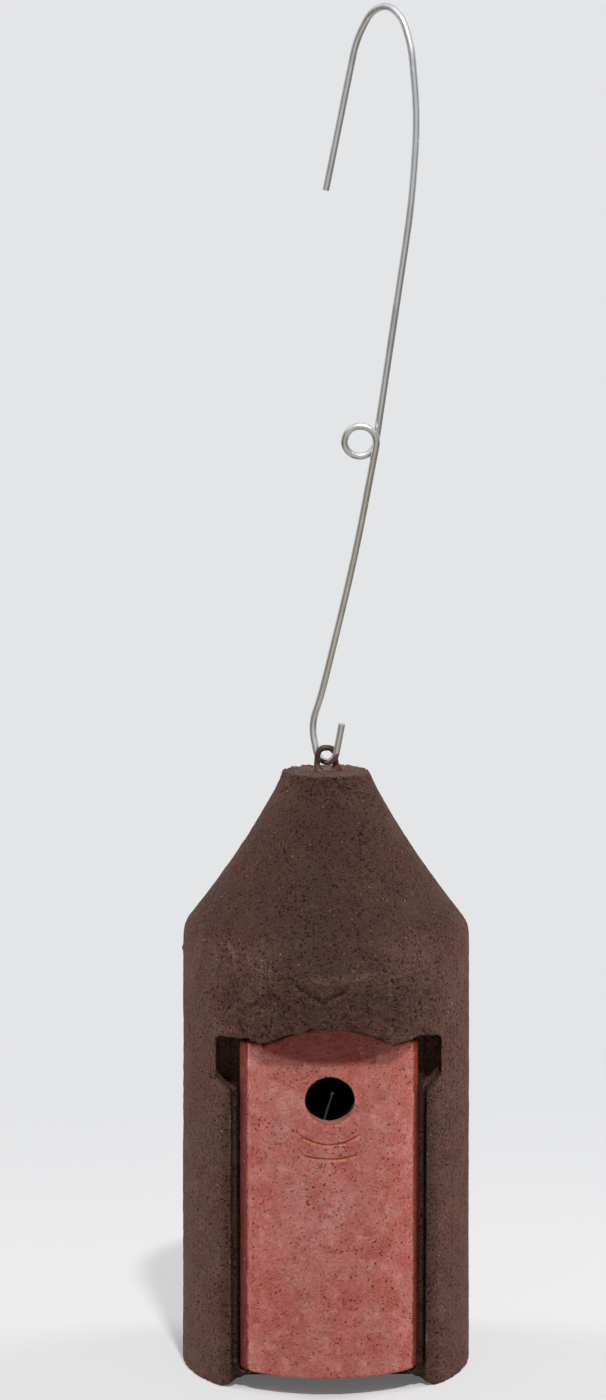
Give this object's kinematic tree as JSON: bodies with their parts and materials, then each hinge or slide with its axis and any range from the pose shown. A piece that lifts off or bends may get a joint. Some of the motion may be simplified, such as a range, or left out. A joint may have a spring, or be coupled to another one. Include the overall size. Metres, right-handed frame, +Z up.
{
  "type": "bird nest box",
  "caption": "Cast wood-concrete nest box with a conical roof, a brow over a lift-off front panel with a round entrance, and a bent wire hanger in a cast-in eye.",
  "frame": {"origin": "centre of the flat base, on the surface that the box stands on, under the axis of the round chamber", "axes": "+Z up along the chamber's axis, -Y out of the front panel, +X to the right as seen from the front"},
  "size_m": [0.16, 0.1767, 0.7432],
  "materials": {
    "brown_wood_concrete": "matt, porous, dark brown",
    "red_wood_concrete": "matt, porous, terracotta red",
    "painted_eye": "glossy brown paint over wire",
    "galvanised_wire": "bright galvanised",
    "nail_aluminium": "drawn aluminium"
  },
  "bodies": {
    "box": {"body": "brown_wood_concrete", "hanging_eye": "painted_eye", "fixing_nail": "nail_aluminium"},
    "panel": {"front_panel": "red_wood_concrete"},
    "hanger": {"hanger": "galvanised_wire"}
  },
  "joints": [
    {"name": "panel_tilt", "type": "hinge", "parent": "box", "child": "panel", "pos_m": [0, -0.06139, 0.0103], "axis": [1, 0, 0], "range_deg": [0, 45]},
    {"name": "hanger_swing", "type": "hinge", "parent": "box", "child": "hanger", "pos_m": [0, 0, 0.3439], "axis": [0.7071, 0.7071, 0], "range_deg": [-80, 80]}
  ]
}
